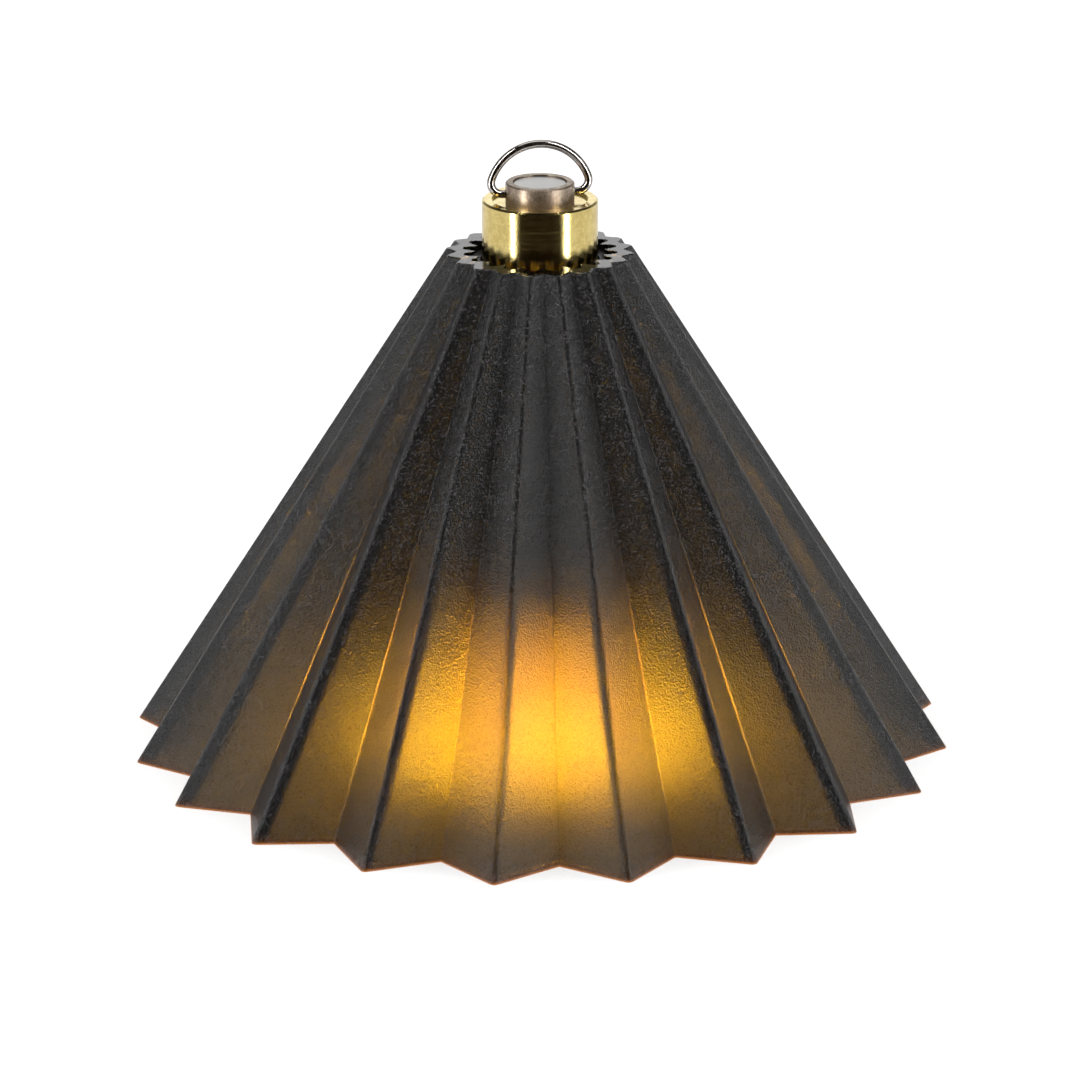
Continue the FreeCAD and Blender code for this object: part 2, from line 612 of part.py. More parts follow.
groove_middle = f"({neck_root} + groove_level + groove_width / 2)"
pieces = [
    make_shade(),
    make_carrier(),
    make_globe(),
    make_diffuser(),
    make_collar(),
    make_seal("globe_seal", "cup_bore", "head_radius", f"globe_height + seal_gap / 2", "seal_gap"),
    make_tube(),
    make_seal("cap_seal", "(thread_radius - groove_depth)", socket_radius, groove_middle,
              f"({socket_radius} - thread_radius + groove_depth)"),
    make_lamp_cup(),
    disc("emitter_board", "emitter_board_radius", "board_thickness", f"{cup_face} - board_thickness"),
    disc("emitter", "emitter_radius", "emitter_height", f"{cup_face} - board_thickness - emitter_height"),
    disc("red_lead", "lead_radius", f"{board_face} - {cup_face}", cup_face, "lead_spread"),
    disc("black_lead", "lead_radius", f"{board_face} - {cup_face}", cup_face, "-lead_spread"),
    disc("driver_board", f"{cup_radius} - slip_gap", "board_thickness", board_face),
    make_driver_parts(),
    disc("front_contact", "contact_radius", "contact_height", bore_shoulder),
    disc("cell_button", "button_radius", "button_height", f"{cell_foot} - button_height"),
    disc("battery_cell", "cell_radius", "cell_length", cell_foot),
    make_spring(),
    make_cap(),
    make_stud(),
    make_nut(),
    disc("magnet", "magnet_radius", "magnet_height", f"{stud_top} - magnet_drop - magnet_height"),
    make_ring(),
]
doc.recompute()

faults = [item.Name for item in doc.Objects if {"Invalid", "Error"} & set(item.State)]
for piece in pieces:
    if piece.Shape.isNull() or not piece.Shape.isValid():
        faults.append(piece.Label)
if faults:
    raise RuntimeError("not built: " + ", ".join(faults))

os.makedirs("parts", exist_ok=True)
for piece in pieces:
    piece.Shape.exportStep(f"parts/{piece.Label}.step")
    box = piece.Shape.BoundBox
    print(f"{piece.Label:16s} {len(piece.Shape.Solids)} solid {piece.Shape.Volume:10.1f} mm3"
          f" z {box.ZMin:7.2f} to {box.ZMax:7.2f} across {box.XLength:6.2f}")
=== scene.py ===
"""The looks of a small pleated lamp: a smoke-coloured shade over a lit battery lantern.

Every length is in metres, in the CAD's own frame: the table is z = 0, the shade's axis is
the z axis and the hanging ring's bar lies along x.
"""
import json
import math

import bmesh
import bpy
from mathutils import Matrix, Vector


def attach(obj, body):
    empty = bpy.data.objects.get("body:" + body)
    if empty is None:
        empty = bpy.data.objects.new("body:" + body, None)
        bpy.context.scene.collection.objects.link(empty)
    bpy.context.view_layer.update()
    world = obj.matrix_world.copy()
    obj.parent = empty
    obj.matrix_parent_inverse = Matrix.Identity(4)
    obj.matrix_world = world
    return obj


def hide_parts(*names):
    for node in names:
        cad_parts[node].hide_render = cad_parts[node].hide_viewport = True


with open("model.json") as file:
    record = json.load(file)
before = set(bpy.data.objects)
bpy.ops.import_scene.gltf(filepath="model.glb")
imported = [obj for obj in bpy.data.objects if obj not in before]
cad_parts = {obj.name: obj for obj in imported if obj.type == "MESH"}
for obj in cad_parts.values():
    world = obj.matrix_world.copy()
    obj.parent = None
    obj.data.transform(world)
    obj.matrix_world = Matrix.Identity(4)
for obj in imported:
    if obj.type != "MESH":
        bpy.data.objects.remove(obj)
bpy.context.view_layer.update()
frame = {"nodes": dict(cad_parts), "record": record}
nodes = frame["nodes"]
MM = 0.001

# Shade, as moulded. A round is a radius; a land is a short flat that keeps shading even.
PLEATS = 20
SHADE_HEIGHT = 83.75 * MM
RIM_RIDGE = 68.31 * MM
PLEAT_DEPTH = 8.31 * MM
NECK_RIDGE = 15.6 * MM
SHADE_WALL = 1.85 * MM
LOBE_ZONE = 16.0 * MM
LOBE_PROUD = 0.95 * MM
RIDGE_ROUND = 0.8 * MM
SLOT_ROUND = 1.1 * MM
NECK_SLOT_ROUND = 1.0 * MM
NECK_SLOT_REACH = 1.5 * MM
VALLEY_ROUND = 0.25 * MM
LOBE_ROUND = 0.2 * MM
RIM_ROUND = 0.18 * MM
RIM_LAND = 0.06 * MM
LIP_EASE = 0.3
WALL_LAND = 0.3 * MM
ARC_LAND = 0.12 * MM
RIDGE_STEPS = 6
VALLEY_STEPS = 3
WELD = 0.002 * MM
FIRST_RIDGE = math.radians(2.5)

# Hanging ring, bent from one wire: levels and reaches from its bar's middle line
WIRE = 0.65 * MM
RING_BAR = 93.44 * MM
RING_RISE = 8.0 * MM
RING_ARCH = 8.4 * MM
RING_CORNER = 1.84 * MM
RING_LEAN = math.radians(4.0)
RING_END = 4.7 * MM
BAR_SHARE = 0.93
CORNER_STEPS = 12
ARCH_STEPS = 32

# Camera
LENS = 182.24
SENSOR = 36.0
CLIP = (0.05, 20.0)
CAMERA_PLACE = Vector((-0.1400, -0.8459, 0.32315))
CAMERA_PITCH = math.radians(18.635)
CAMERA_TURN = math.radians(9.398)
CAMERA_BEARING = math.atan2(CAMERA_PLACE.y, CAMERA_PLACE.x)

# Studio: bearings in degrees from the camera's, and places and sizes in metres
WHITE = (1.0, 1.0, 1.0)
TABLE_HALF = 4.0
TABLE_DROP = 0.02 * MM
STRIP_TURN = 54
STRIP_DISTANCE = 0.20
STRIP_LEVEL = 0.20
STRIP_AIM = 0.16
SIDE_TURN = 100
FLAG_RADIUS = 0.21
FLAG_HEIGHT = 0.6
FLAG_HALF = math.radians(44)
FLAG_STEPS = 12
TOP_METALS = ("tail_cap", "tail_stud", "magnet")

# The lamp's own light
LAMP_LEVEL = 22 * MM
LAMP_POWER = 4.6
LAMP_COLOUR = (1.0, 0.57, 0.013)
LAMP_SOFTNESS = 3 * MM
LAMP_ALL_ROUND = 0.05

# Finishes from a lathe: colour, duller colour, roughness, groove and its depth in mm
TURNED = {
    "brass": ((0.78, 0.63, 0.25), (0.64, 0.49, 0.175), 0.12, 0.09, 0.010),
    "black_aluminium": ((0.05, 0.05, 0.053), (0.03, 0.03, 0.032), 0.38, 0.12, 0.006),
    "plain_aluminium": ((0.80, 0.80, 0.81), (0.68, 0.68, 0.69), 0.3, 0.12, 0.006),
    "contact_gold": ((0.90, 0.70, 0.32), (0.80, 0.58, 0.24), 0.2, 0.08, 0.003),
    "satin_steel": ((0.45, 0.365, 0.285), (0.26, 0.205, 0.16), 0.40, 0.10, 0.006),
}

# Moulded, pressed or painted finishes: colour, paler colour, roughness, grain and its depth
# in mm, and how metallic
MOULDED = {
    "black_plastic": ((0.010, 0.010, 0.011), (0.02, 0.02, 0.021), 0.42, 0.3, 0.010, 0.0),
    "rubber": ((0.012, 0.012, 0.013), (0.03, 0.03, 0.03), 0.7, 0.2, 0.010, 0.0),
    "board_white": ((0.78, 0.78, 0.76), (0.86, 0.86, 0.84), 0.4, 0.3, 0.004, 0.0),
    "board_green": ((0.02, 0.13, 0.05), (0.03, 0.18, 0.07), 0.38, 0.3, 0.004, 0.0),
    "phosphor": ((0.86, 0.62, 0.08), (0.92, 0.70, 0.14), 0.5, 0.15, 0.004, 0.0),
    "wire_red": ((0.50, 0.02, 0.015), (0.60, 0.04, 0.03), 0.45, 0.2, 0.004, 0.0),
    "wire_black": ((0.010, 0.010, 0.011), (0.03, 0.03, 0.03), 0.45, 0.2, 0.004, 0.0),
    "component": ((0.03, 0.03, 0.032), (0.06, 0.06, 0.06), 0.5, 0.2, 0.004, 0.0),
    "cell_wrap": ((0.10, 0.22, 0.42), (0.13, 0.27, 0.48), 0.32, 0.6, 0.006, 0.0),
    "spring_steel": ((0.55, 0.54, 0.52), (0.70, 0.69, 0.67), 0.25, 0.3, 0.003, 1.0),
    "magnet_nickel": ((0.44, 0.435, 0.42), (0.54, 0.535, 0.52), 0.36, 0.25, 0.004, 1.0),
}


# ---------------------------------------------------------------- node trees

class Field:
    """A value that a node gives out; arithmetic on it adds Math nodes."""

    def __init__(self, tree, socket):
        self.tree = tree
        self.socket = socket

    def math(self, operation, first, second):
        """Work out one operation on two values with a Math node."""
        node = self.tree.nodes.new("ShaderNodeMath")
        node.operation = operation
        plug(self.tree, node.inputs[0], first)
        plug(self.tree, node.inputs[1], second)
        return Field(self.tree, node.outputs[0])

    def __add__(self, other):
        return self.math("ADD", self, other)

    def __radd__(self, other):
        return self.math("ADD", other, self)

    def __sub__(self, other):
        return self.math("SUBTRACT", self, other)

    def __rsub__(self, other):
        return self.math("SUBTRACT", other, self)

    def __mul__(self, other):
        return self.math("MULTIPLY", self, other)

    def __rmul__(self, other):
        return self.math("MULTIPLY", other, self)

    def __truediv__(self, other):
        return self.math("DIVIDE", self, other)

    def __pow__(self, other):
        return self.math("POWER", self, other)

    def over(self, other):
        """1 where this is more than the other, else 0."""
        return self.math("GREATER_THAN", self, other)


def plug(tree, socket, value):
    """Link a field to the socket, or set the socket to a plain value."""
    if isinstance(value, Field):
        tree.links.new(value.socket, socket)
    elif socket.type == "RGBA" and len(value) == 3:
        socket.default_value = (*value, 1.0)
    else:
        socket.default_value = value


class Recipe:
    """A shader tree filled in one node at a time."""

    def __init__(self, owner):
        owner.use_nodes = True
        self.owner = owner
        self.tree = owner.node_tree
        self.tree.nodes.clear()

    def add(self, kind, settings=None, sockets=None, out=0):
        """Add a node: its settings first, then its sockets; gives back one output."""
        node = self.tree.nodes.new("ShaderNode" + kind)
        for name, value in (settings or {}).items():
            setattr(node, name, value)
        for name, value in (sockets or {}).items():
            plug(self.tree, node.inputs[name], value)
        return Field(self.tree, node.outputs[out])

    def place(self):
        """Where a point is on the piece, in metres."""
        return self.add("TexCoord", out="Object")

    def stretched(self, scale):
        """The place, stretched along x, y and z."""
        return self.add("Mapping", None, {"Vector": self.place(), "Scale": scale})

    def noise(self, size, detail=2.0, rough=0.5, at=None):
        """Grain whose specks are about that size."""
        return self.add("TexNoise", None, {
            "Vector": at or self.place(), "Scale": 1.0 / size,
            "Detail": detail, "Roughness": rough})

    def ramp(self, value, low, high, start=0.0, end=1.0):
        """The value, taken from one range to another and held at its ends."""
        return self.add("MapRange", {"interpolation_type": "SMOOTHSTEP"}, {
            "Value": value, "From Min": low, "From Max": high, "To Min": start, "To Max": end})

    def blend(self, share, first, second):
        """Two colours, mixed by a share."""
        return self.add("Mix", {"data_type": "RGBA"}, {
            0: share, 6: first, 7: second}, out=2)

    def bump(self, height, depth, strength=1.0):
        """The normal of a skin with this relief."""
        return self.add("Bump", None, {
            "Height": height, "Distance": depth, "Strength": strength})

    def parts(self, vector):
        """A vector's x, y and z."""
        node = self.tree.nodes.new("ShaderNodeSeparateXYZ")
        plug(self.tree, node.inputs[0], vector)
        return [Field(self.tree, output) for output in node.outputs]

    def join(self, x, y, z):
        """A vector of these three."""
        return self.add("CombineXYZ", None, {"X": x, "Y": y, "Z": z})

    def close(self, surface, volume=None):
        """Link the tree to its output, and give back what it belongs to."""
        kinds = {bpy.types.Material: "Material", bpy.types.Light: "Light",
                 bpy.types.World: "World"}
        kind = next(name for owner, name in kinds.items() if isinstance(self.owner, owner))
        output = self.tree.nodes.new("ShaderNodeOutput" + kind)
        self.tree.links.new(surface.socket, output.inputs["Surface"])
        if volume:
            self.tree.links.new(volume.socket, output.inputs["Volume"])
        return self.owner


def finish_named(name):
    """The empty tree of a new material."""
    return Recipe(bpy.data.materials.new(name))


# ---------------------------------------------------------------- finishes

def smoke_plastic():
    """Smoke-brown see-through plastic, grained outside and smooth inside and on its neck;
    painted glints on the grain's peaks, painted shade in its hollows, and an orange glow
    painted along the rim's lower edge for the lamp's light there.
    """
    mix = finish_named("smoke_plastic")
    z = mix.parts(mix.place())[2]
    outside = mix.add("Attribute", {"attribute_name": "outside"}, out="Fac")
    neck_face = mix.ramp(z, SHADE_HEIGHT - 0.2 * MM, SHADE_HEIGHT - 0.1 * MM)
    sanded = outside * (1.0 - neck_face)
    sand = mix.noise(0.30 * MM, 1.0)
    pits = mix.noise(0.95 * MM, 2.0)
    height = (sand * 0.7 + pits * 0.3) * sanded
    cloud = mix.noise(14 * MM, 3.0)
    # Painted light: an orange glow on the lowest 0.45 mm of the wall, strongest below 0.1 mm,
    # stands in for the lamp's light along the rim's lower edge.
    above_painted_rim_glow = mix.ramp(z, 0.10 * MM, 0.45 * MM)
    clear = mix.add("BsdfPrincipled", None, {
        "Base Color": mix.blend(cloud, (0.84, 0.82, 0.80), (0.90, 0.88, 0.86)),
        "Roughness": 0.08 + sanded * mix.ramp(cloud, 0.3, 0.7, 0.22, 0.27),
        "IOR": 1.55,
        "Transmission Weight": 1.0,
        "Emission Color": mix.blend(above_painted_rim_glow, (0.50, 0.17, 0.03), (0.0, 0.0, 0.0)),
        "Emission Strength": 0.6,
        "Normal": mix.bump(height, 0.18 * MM)})
    # Painted light in the grain: a pale skin on its peaks stands in for glints, and a
    # near-black one in its hollows stands in for shade.
    grain = sand * 0.8 + pits * 0.2
    painted_glint_peaks = mix.ramp(grain, 0.50, 0.64)
    painted_shade_hollows = 1.0 - mix.ramp(grain, 0.35, 0.47)
    frost_with_painted_specks = mix.add("BsdfPrincipled", None, {
        "Base Color": mix.blend(painted_glint_peaks, (0.004, 0.004, 0.004), (0.34, 0.315, 0.33)),
        "Roughness": 0.6})
    painted_speck_share = (painted_glint_peaks * 0.24 + painted_shade_hollows * 0.26) * sanded
    surface = mix.add("MixShader", None, {0: painted_speck_share, 1: clear, 2: frost_with_painted_specks})
    smoke = mix.add("VolumeAbsorption", None, {
        "Color": (0.25, 0.20, 0.09), "Density": 1600.0})
    return mix.close(surface, smoke)


def turned_metal(name, colour, dull, roughness, groove, depth):
    """Metal from a lathe: fine rings round the axis, and a cloudy skin."""
    mix = finish_named(name)
    x, y, z = mix.parts(mix.place())
    radius = (x * x + y * y) ** 0.5
    sweep = mix.join(radius / groove, z / groove, 0.0)
    rings = mix.add("TexNoise", None, {"Vector": sweep, "Scale": 1.0, "Detail": 2.0})
    cloud = mix.noise(1.6 * MM, 4.0, 0.6)
    speck = mix.noise(0.35 * MM, 2.0)
    share = mix.ramp(cloud * 0.6 + speck * 0.4, 0.40, 0.62)
    wear = rings * 0.5 + cloud * 0.5
    surface = mix.add("BsdfPrincipled", None, {
        "Base Color": mix.blend(share, dull, colour),
        "Metallic": 1.0,
        "Roughness": mix.ramp(wear, 0.3, 0.7, roughness * 1.25, roughness * 0.8),
        "Normal": mix.bump(rings * 0.8 + speck * 0.9, depth)})
    return mix.close(surface)


def moulded(name, colour, pale, roughness, grain, depth, metallic):
    """A plain moulded, pressed or painted skin with a little grain and unevenness."""
    mix = finish_named(name)
    fine = mix.noise(grain, 2.0)
    cloud = mix.noise(grain * 9, 4.0, 0.6)
    surface = mix.add("BsdfPrincipled", None, {
        "Base Color": mix.blend(mix.ramp(cloud, 0.35, 0.7), colour, pale),
        "Metallic": metallic,
        "Roughness": mix.ramp(cloud, 0.3, 0.7, roughness * 0.85, roughness * 1.15),
        "Normal": mix.bump(fine, depth)})
    return mix.close(surface)


def lit_globe():
    """The globe, glowing with the lamp's light, most of all at its foot."""
    mix = finish_named("clear_globe")
    cloud = mix.noise(6 * MM, 2.0)
    above_foot = mix.ramp(mix.parts(mix.place())[2], 1 * MM, 20 * MM)
    glow = mix.blend(above_foot, (1.0, 0.42, 0.035), (0.03, 0.010, 0.001))
    surface = mix.add("BsdfPrincipled", None, {
        "Base Color": (1.0, 0.93, 0.82),
        "Roughness": mix.ramp(cloud, 0.3, 0.7, 0.18, 0.26),
        "Transmission Weight": 1.0,
        "IOR": 1.49,
        "Emission Color": glow,
        "Emission Strength": 3.8})
    return mix.close(surface)


def lit_diffuser():
    """The frosted cup over the emitter, the brightest piece."""
    mix = finish_named("frosted_diffuser")
    cloud = mix.noise(3 * MM, 2.0)
    surface = mix.add("BsdfPrincipled", None, {
        "Base Color": (0.95, 0.90, 0.80),
        "Roughness": mix.ramp(cloud, 0.3, 0.7, 0.45, 0.6),
        "Emission Color": mix.blend(cloud, (1.0, 0.42, 0.05), (1.0, 0.46, 0.06)),
        "Emission Strength": 3.0})
    return mix.close(surface)


def bright_steel():
    """Polished wire with faint drawing lines, and painted shade along its edges from a
    near-black edge tint.
    """
    mix = finish_named("polished_steel")
    streak = mix.noise(0.9 * MM, 3.0, at=mix.stretched((1.0, 4.0, 1.0)))
    surface = mix.add("BsdfPrincipled", None, {
        "Base Color": mix.blend(streak, (0.42, 0.38, 0.35), (0.60, 0.56, 0.53)),
        "Metallic": 1.0,
        # Painted shade: the near-black edge tint darkens the wire's reflection towards its
        # edges.
        "Specular Tint": (0.05, 0.035, 0.03),
        "Roughness": mix.ramp(streak, 0.3, 0.7, 0.10, 0.20),
        "Normal": mix.bump(streak, 0.01 * MM, 0.4)})
    return mix.close(surface)


def make_finishes():
    """One material for each of the record's slots."""
    finishes = {
        "smoke_plastic": smoke_plastic(),
        "clear_globe": lit_globe(),
        "frosted_diffuser": lit_diffuser(),
        "polished_steel": bright_steel(),
    }
    for name, (colour, dull, roughness, groove, depth) in TURNED.items():
        finishes[name] = turned_metal(name, colour, dull, roughness, groove * MM, depth * MM)
    for name, (colour, pale, roughness, grain, depth, metallic) in MOULDED.items():
        finishes[name] = moulded(
            name, colour, pale, roughness, grain * MM, depth * MM, metallic)
    return finishes


def slots():
    """The record's material slot for each CAD node."""
    return {part["node"]: part["material_slot"] for part in frame["record"]["subparts"]}


def dress(piece, material):
    """Give the piece this one material."""
    piece.data.materials.clear()
    piece.data.materials.append(material)


# ---------------------------------------------------------------- the shade

def ridge_at(level):
    """How far out the ridges would be at a level, if they weren't rounded."""
    return RIM_RIDGE + (NECK_RIDGE - RIM_RIDGE) * level / SHADE_HEIGHT


def valley_at(level):
    """How far out the valleys are at a level."""
    return ridge_at(level) * (RIM_RIDGE - PLEAT_DEPTH) / RIM_RIDGE


def inner_drop():
    """How far the inside is the outside lowered, for a wall of even thickness."""
    half = math.pi / PLEATS
    valley = RIM_RIDGE - PLEAT_DEPTH
    slope = (RIM_RIDGE - NECK_RIDGE) / SHADE_HEIGHT
    across = valley * math.sin(half)
    inward = RIM_RIDGE - valley * math.cos(half)
    lean = math.sqrt(inward ** 2 + across ** 2 * (1 + slope ** 2))
    return SHADE_WALL * lean / (slope * across)


def rounded_corner(corner, arm, radius, steps):
    """From the middle of a rounded corner out along one arm, and a little past the arc."""
    arm = (arm - corner).normalized()
    outward = corner.normalized()
    axis = outward * math.copysign(1.0, arm.dot(outward))
    lean = math.acos(max(-1.0, min(1.0, arm.dot(axis))))
    centre = corner + axis * (radius / math.sin(lean))
    side = arm - axis * arm.dot(axis)
    side.normalize()
    points = []
    for step in range(steps + 1):
        turn = (math.pi / 2 - lean) * step / steps
        points.append(centre - axis * radius * math.cos(turn) + side * radius * math.sin(turn))
    points.append(points[-1] + arm * ARC_LAND)
    return points


def half_pleat(ridge, valley, ridge_round, valley_round):
    """Half of one pleat's outline at a level, from the ridge on x to the valley."""
    half = math.pi / PLEATS
    top = Vector((ridge, 0.0))
    foot = Vector((valley * math.cos(half), valley * math.sin(half)))
    crest = rounded_corner(top, foot, ridge_round, RIDGE_STEPS)
    fold = rounded_corner(foot, top, valley_round, VALLEY_STEPS)
    return crest + list(reversed(fold))


def pleat_rows():
    """The closed belt of outlines round one pleat's wall: up the outside, down the inside."""
    drop = inner_drop()
    knee = SHADE_HEIGHT - LOBE_ZONE

    def outside(level):
        return half_pleat(ridge_at(level), valley_at(level), RIDGE_ROUND, VALLEY_ROUND)

    def inside(level):
        share = max(0.0, (level - knee) / LOBE_ZONE)
        slot = ridge_at(level + drop) + NECK_SLOT_REACH * share
        lobe = valley_at(level + drop) - LOBE_PROUD * share
        slot_round = SLOT_ROUND + (NECK_SLOT_ROUND - SLOT_ROUND) * share
        return half_pleat(slot, lobe, slot_round, LOBE_ROUND)

    def eased(level, depth, from_inside):
        """One skin's outline, moved that deep into the wall."""
        out, back = outside(level), inside(level)
        pairs = zip(back, out) if from_inside else zip(out, back)
        return [(near + (far - near).normalized() * depth, level) for near, far in pairs]

    def rounding(level, up, from_inside):
        """The rows over one rounded lip, from its wall to the flat of the rim or the neck."""
        ease = LIP_EASE * RIM_ROUND
        return [eased(level - ease * up, ease, from_inside),
                eased(level, RIM_ROUND, from_inside),
                eased(level, RIM_ROUND + RIM_LAND, from_inside)]

    def wall(outline):
        """The rows up one skin; those near its ends keep the shading flat."""
        low, high = RIM_ROUND, SHADE_HEIGHT - RIM_ROUND
        levels = (low, low + WALL_LAND, knee, high - WALL_LAND, high)
        return [[(point, level) for point in outline(level)] for level in levels]

    top = SHADE_HEIGHT
    rows = rounding(0.0, -1, False)[::-1] + wall(outside) + rounding(top, 1, False)
    rows += rounding(top, 1, True)[::-1] + wall(inside)[::-1] + rounding(0.0, -1, True)
    return rows


def one_pleat():
    """The wall of one pleat, its ridge on x, open only where its neighbours join."""
    bm = bmesh.new()
    side = bm.verts.layers.float.new("outside")
    grid = []
    rows = pleat_rows()
    for number, row in enumerate(rows):
        line = [bm.verts.new((point.x, -point.y, level)) for point, level in reversed(row[1:])]
        line += [bm.verts.new((point.x, point.y, level)) for point, level in row]
        for vert in line:
            vert[side] = float(number < len(rows) // 2)
        grid.append(line)
    for low, high in zip(grid, grid[1:] + grid[:1]):
        for index in range(len(low) - 1):
            bm.faces.new((low[index], low[index + 1], high[index + 1], high[index]))
    mesh = bpy.data.meshes.new("pleat")
    bm.to_mesh(mesh)
    bm.free()
    return mesh


def tree_input(tree, name, kind, value=None):
    """Give the tree one more input, with its own value where it has one."""
    socket = tree.interface.new_socket(name, in_out="INPUT", socket_type="NodeSocket" + kind)
    if value is not None:
        socket.default_value = value


def pleat_ring_tree():
    """Geometry nodes that turn one pleat into the whole ring of them."""
    tree = bpy.data.node_groups.new("pleat_ring", "GeometryNodeTree")
    tree_input(tree, "Pleat", "Geometry")
    tree_input(tree, "Pleats", "Int", PLEATS)
    tree_input(tree, "First ridge", "Float", FIRST_RIDGE)
    tree_input(tree, "Plastic", "Material")
    tree.interface.new_socket("Shade", in_out="OUTPUT", socket_type="NodeSocketGeometry")

    def add(kind, settings=None, sockets=None):
        node = tree.nodes.new(kind)
        for name, value in (settings or {}).items():
            setattr(node, name, value)
        for name, value in (sockets or {}).items():
            if isinstance(value, bpy.types.NodeSocket):
                tree.links.new(value, node.inputs[name])
            else:
                node.inputs[name].default_value = value
        return node

    given = add("NodeGroupInput").outputs
    index = add("GeometryNodeInputIndex").outputs[0]
    step = add("ShaderNodeMath", {"operation": "DIVIDE"},
               {0: math.tau, 1: given["Pleats"]}).outputs[0]
    angle = add("ShaderNodeMath", {"operation": "MULTIPLY_ADD"},
                {0: index, 1: step, 2: given["First ridge"]}).outputs[0]
    turn = add("ShaderNodeCombineXYZ", None, {"Z": angle}).outputs[0]
    points = add("GeometryNodePoints", None, {"Count": given["Pleats"]}).outputs[0]
    copies = add("GeometryNodeInstanceOnPoints", None,
                 {"Points": points, "Instance": given["Pleat"], "Rotation": turn}).outputs[0]
    solid = add("GeometryNodeRealizeInstances", None, {"Geometry": copies}).outputs[0]
    joined = add("GeometryNodeMergeByDistance", None,
                 {"Geometry": solid, "Distance": WELD}).outputs[0]
    dressed = add("GeometryNodeSetMaterial", None,
                  {"Geometry": joined, "Material": given["Plastic"]}).outputs[0]
    tree.links.new(dressed, add("NodeGroupOutput").inputs[0])
    return tree


def grown(name, mesh, tree, values):
    """The plain mesh that a tree of geometry nodes makes of a mesh."""
    seed = bpy.data.objects.new(name + "_seed", mesh)
    bpy.context.scene.collection.objects.link(seed)
    modifier = seed.modifiers.new("grow", "NODES")
    modifier.node_group = tree
    for socket in tree.interface.items_tree:
        if socket.in_out == "INPUT" and socket.name in values:
            modifier[socket.identifier] = values[socket.name]
    seen = seed.evaluated_get(bpy.context.evaluated_depsgraph_get())
    made = bpy.data.meshes.new_from_object(seen)
    made.name = name
    bpy.data.objects.remove(seed)
    return made


def add_piece(name, mesh, smooth=30.0):
    """A finished piece at the origin, smooth over every edge that is blunter than the angle."""
    mesh.shade_smooth()
    mesh.set_sharp_from_angle(angle=math.radians(smooth))
    piece = bpy.data.objects.new(name, mesh)
    bpy.context.scene.collection.objects.link(piece)
    return piece


def make_shade(plastic):
    """The whole pleated shade, in place of the CAD's."""
    values = {"Pleats": PLEATS, "First ridge": FIRST_RIDGE, "Plastic": plastic}
    mesh = grown("pleated_shade", one_pleat(), pleat_ring_tree(), values)
    piece = add_piece("pleated_shade", mesh)
    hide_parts("shade")
    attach(piece, "cover")


# ---------------------------------------------------------------- the hanging ring

def ring_path():
    """The wire's middle line, from one end in the stud, over the arch, to the other."""
    arch_level = RING_RISE - RING_ARCH
    reach = RING_ARCH - RING_CORNER
    rise = RING_CORNER - arch_level
    corner_x = math.sqrt(reach ** 2 - rise ** 2)
    join = math.atan2(rise, corner_x)
    side = [(RING_END, 0.0), (corner_x * BAR_SHARE, 0.0)]
    for step in range(CORNER_STEPS + 1):
        turn = -math.pi / 2 + (math.pi / 2 + join) * step / CORNER_STEPS
        side.append((corner_x + RING_CORNER * math.cos(turn),
                     RING_CORNER + RING_CORNER * math.sin(turn)))
    for step in range(1, ARCH_STEPS + 1):
        turn = join + (math.pi / 2 - join) * step / ARCH_STEPS
        side.append((RING_ARCH * math.cos(turn), arch_level + RING_ARCH * math.sin(turn)))
    return side + [(-x, z) for x, z in reversed(side[:-1])]


def make_ring(steel):
    """The hanging ring of round wire, in place of the CAD's."""
    curve = bpy.data.curves.new("ring_wire", "CURVE")
    curve.dimensions = "3D"
    curve.bevel_depth = WIRE
    curve.bevel_resolution = 6
    curve.use_fill_caps = True
    path = ring_path()
    spline = curve.splines.new("POLY")
    spline.points.add(len(path) - 1)
    for point, (x, z) in zip(spline.points, path):
        point.co = (x, z * math.sin(RING_LEAN), RING_BAR + z * math.cos(RING_LEAN), 1.0)
    holder = bpy.data.objects.new("ring_wire", curve)
    bpy.context.scene.collection.objects.link(holder)
    seen = holder.evaluated_get(bpy.context.evaluated_depsgraph_get())
    mesh = bpy.data.meshes.new_from_object(seen)
    bpy.data.objects.remove(holder)
    piece = add_piece("wire_ring", mesh, 50.0)
    dress(piece, steel)
    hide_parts("hanging_ring")
    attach(piece, "bail")
    return piece


# ---------------------------------------------------------------- studio

def studio_floor():
    """A white table top that keeps the lamp's shadow, and is open from below."""
    mesh = bpy.data.meshes.new("table_top")
    half = TABLE_HALF
    corners = [(-half, -half, 0), (half, -half, 0), (half, half, 0), (-half, half, 0)]
    mesh.from_pydata(corners, [], [(0, 1, 2, 3)])
    piece = bpy.data.objects.new("table_top", mesh)
    bpy.context.scene.collection.objects.link(piece)
    piece.location.z = -TABLE_DROP
    mix = finish_named("table_white")
    ray = mix.add("LightPath", out="Is Camera Ray")
    glossy = mix.add("LightPath", out="Is Glossy Ray")
    through = mix.add("LightPath", out="Is Transmission Ray")
    grain = mix.noise(0.4, 2.0)
    paint = mix.add("BsdfDiffuse", None, {
        "Color": mix.blend(grain, (0.86, 0.86, 0.86), (0.88, 0.88, 0.88))})
    glow = mix.add("Emission", None, {
        "Color": WHITE, "Strength": ray * 0.35 + glossy * 0.1 + through * 0.05})
    lit = mix.add("AddShader", None, {0: paint, 1: glow})
    below = mix.add("NewGeometry", out="Backfacing")
    clear = mix.add("BsdfTransparent")
    dress(piece, mix.close(mix.add("MixShader", None, {0: below, 1: lit, 2: clear})))


